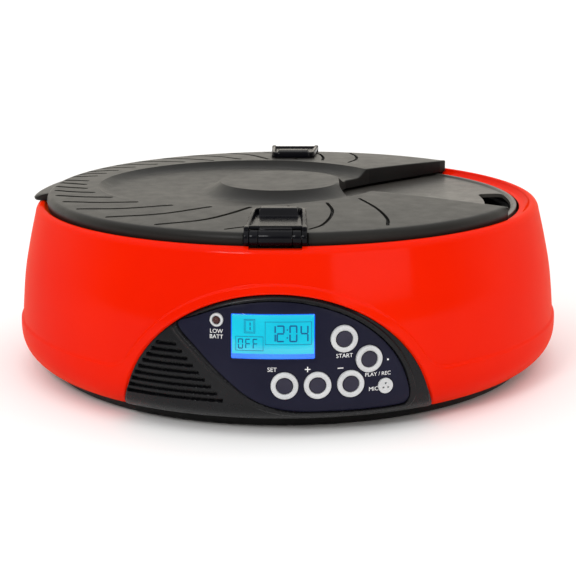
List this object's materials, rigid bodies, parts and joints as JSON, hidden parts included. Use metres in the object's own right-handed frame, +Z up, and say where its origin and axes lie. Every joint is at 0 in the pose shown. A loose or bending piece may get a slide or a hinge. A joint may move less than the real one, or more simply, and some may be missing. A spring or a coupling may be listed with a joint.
{
  "type": "automatic pet feeder",
  "caption": "Round timed pet feeder with a grooved lid, wedge opening, turning meal tray, snap latches, gear drive and a front keypad with display.",
  "frame": {"origin": "middle of the round case on the table, under the rubber feet", "axes": "+Z up along the tray's axis, -Y towards the control panel, +X towards the lid's opening"},
  "size_m": [0.321, 0.3216, 0.1086],
  "materials": {
    "shell_orange": "glossy red-orange moulded ABS",
    "black_matte": "fine texture black",
    "panel_black": "satin black",
    "tray_plastic": "satin charcoal, food tray",
    "lid_charcoal": "satin charcoal",
    "latch_gloss": "gloss black",
    "navy": "navy keypad face",
    "key_plastic": "dark key cap",
    "silver_trim": "silver-grey ring",
    "lcd_glass": "clear window",
    "lcd_cell": "back-lit display cell",
    "led_lens": "small unlit lens",
    "rubber": "matt rubber",
    "steel": "zinc plated",
    "brass": "plain",
    "white_plastic": "acetal",
    "grey_plastic": "moulded housing",
    "circuit_board": "green solder mask",
    "cell_jacket": "printed jacket"
  },
  "bodies": {
    "base": {"base_pan": "black_matte", "rubber_feet": "rubber", "outer_shell": "shell_orange", "well_liner": "black_matte", "case_screws": "steel", "liner_screws": "steel", "control_panel": "panel_black", "keypad_fascia": "navy", "lcd_window": "lcd_glass", "lcd_module": "lcd_cell", "lcd_backlight": "white_plastic", "button_rings": "silver_trim", "tact_switches": "black_matte", "low_battery_led": "led_lens", "led_ring": "silver_trim", "mic_grille": "silver_trim", "microphone": "steel", "speaker": "black_matte", "main_pcb": "circuit_board", "pcb_screws": "steel", "gear_motor": "steel", "gearbox_base": "grey_plastic", "gearbox_cover": "grey_plastic", "gear_pins": "steel", "gearbox_screws": "steel", "thrust_washer": "white_plastic", "position_switch": "black_matte", "battery_cells": "cell_jacket", "battery_contacts": "steel"},
    "tray": {"food_tray": "tray_plastic", "meal_cups": "tray_plastic", "tray_knob": "tray_plastic", "drive_hub": "white_plastic", "output_gear": "white_plastic"},
    "second_stage": {"second_gear": "white_plastic"},
    "first_stage": {"first_gear": "white_plastic"},
    "pinion": {"motor_pinion": "brass"},
    "lid": {"lid": "lid_charcoal", "latch_pins": "steel"},
    "front_latch": {"latch_front": "latch_gloss"},
    "back_latch": {"latch_back": "latch_gloss"},
    "door": {"battery_door": "black_matte"},
    "set_key": {"set_button": "key_plastic"},
    "plus_key": {"plus_button": "key_plastic"},
    "minus_key": {"minus_button": "key_plastic"},
    "start_key": {"start_button": "key_plastic"},
    "play_record_key": {"play_record_button": "key_plastic"}
  },
  "joints": [
    {"name": "tray_spin", "type": "hinge", "parent": "base", "child": "tray", "pos_m": [0, 0, 0.08], "axis": [0, 0, 1], "continuous": true},
    {"name": "second_gear_spin", "type": "hinge", "parent": "base", "child": "second_stage", "pos_m": [-0.0336, 0, 0.028], "axis": [0, 0, 1], "continuous": true},
    {"name": "first_gear_spin", "type": "hinge", "parent": "base", "child": "first_stage", "pos_m": [-0.0336, -0.021, 0.022], "axis": [0, 0, 1], "continuous": true},
    {"name": "pinion_spin", "type": "hinge", "parent": "base", "child": "pinion", "pos_m": [-0.0161, -0.021, 0.019], "axis": [0, 0, 1], "continuous": true},
    {"name": "lid_lift", "type": "slide", "parent": "base", "child": "lid", "axis": [0, 0, 1], "range_m": [0, 0.06]},
    {"name": "front_latch_hinge", "type": "hinge", "parent": "lid", "child": "front_latch", "pos_m": [0, -0.1432, 0.1004], "axis": [1, 0, 0], "range_deg": [0, 60]},
    {"name": "back_latch_hinge", "type": "hinge", "parent": "lid", "child": "back_latch", "pos_m": [0, 0.1432, 0.1004], "axis": [-1, 0, 0], "range_deg": [0, 60]},
    {"name": "battery_door_slide", "type": "slide", "parent": "base", "child": "door", "axis": [0, 1, 0], "range_m": [0, 0.01]},
    {"name": "set_key_press", "type": "slide", "parent": "base", "child": "set_key", "axis": [-0.0297, 0.9996, 0], "range_m": [0, 0.0008], "stiffness_N_per_m": 400, "springref_m": -0.001},
    {"name": "plus_key_press", "type": "slide", "parent": "base", "child": "plus_key", "axis": [-0.134, 0.991, 0], "range_m": [0, 0.0008], "stiffness_N_per_m": 400, "springref_m": -0.001},
    {"name": "minus_key_press", "type": "slide", "parent": "base", "child": "minus_key", "axis": [-0.2385, 0.9711, 0], "range_m": [0, 0.0008], "stiffness_N_per_m": 400, "springref_m": -0.001},
    {"name": "start_key_press", "type": "slide", "parent": "base", "child": "start_key", "axis": [-0.2215, 0.9751, 0], "range_m": [0, 0.0008], "stiffness_N_per_m": 400, "springref_m": -0.001},
    {"name": "play_record_key_press", "type": "slide", "parent": "base", "child": "play_record_key", "axis": [-0.299, 0.9542, 0], "range_m": [0, 0.0008], "stiffness_N_per_m": 400, "springref_m": -0.001}
  ],
  "couplings": [
    {"joint": "second_gear_spin", "follows": "tray_spin", "ratio": -5},
    {"joint": "first_gear_spin", "follows": "tray_spin", "ratio": 20},
    {"joint": "pinion_spin", "follows": "tray_spin", "ratio": -80}
  ]
}
